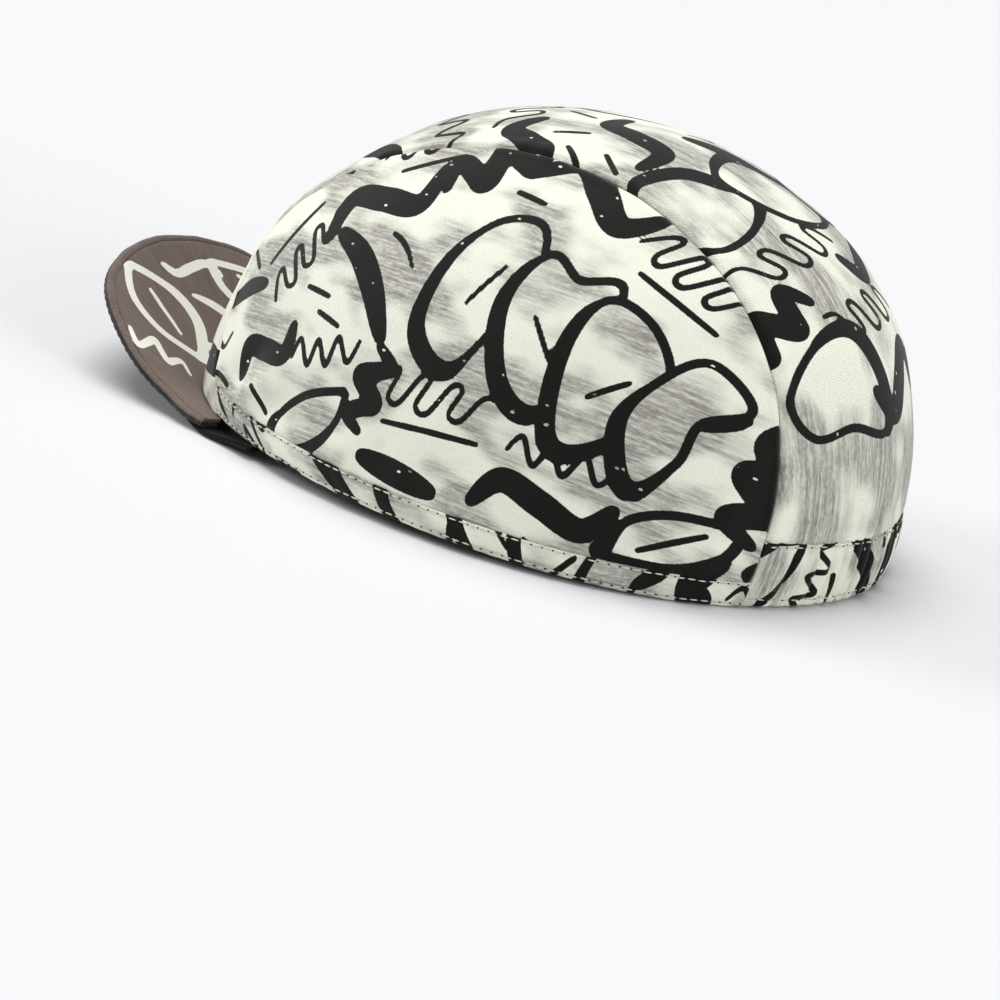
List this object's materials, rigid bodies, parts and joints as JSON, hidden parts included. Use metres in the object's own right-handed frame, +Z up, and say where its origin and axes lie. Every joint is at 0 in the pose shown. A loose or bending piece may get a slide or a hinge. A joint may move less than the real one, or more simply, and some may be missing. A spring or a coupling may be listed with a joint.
{
  "type": "cycling cap",
  "caption": "Soft three-panel cloth cap with a short bill flipped up at the front, a stitched hem, a gathered elastic casing at the back and a turned-out sweatband.",
  "frame": {"origin": "middle of the cap's box seen from above, on the surface that the cap rests on", "axes": "+Z up, -Y towards the bill at the front, +X towards the wearer's left, and the crown leans 1.4 degrees back"},
  "size_m": [0.1568, 0.2336, 0.1023],
  "materials": {
    "printed_cloth": "matt off-white woven cotton with a bold black and grey print",
    "brown_cloth": "matt brown woven cotton with cream motifs",
    "dark_brown_cloth": "matt dark brown woven cotton",
    "edge_cloth": "matt dark rolled seam with a row of stitches",
    "black_cloth": "matt black knitted tape"
  },
  "bodies": {
    "root": {"crown_panel_left": "printed_cloth", "crown_panel_right": "printed_cloth", "crown_panel_centre": "printed_cloth", "hem_band_left": "printed_cloth", "hem_band_right": "printed_cloth", "elastic_casing": "printed_cloth", "bill_top_cover": "brown_cloth", "bill_under_cover": "dark_brown_cloth", "bill_edge": "edge_cloth", "front_sweatband": "black_cloth"}
  },
  "joints": []
}
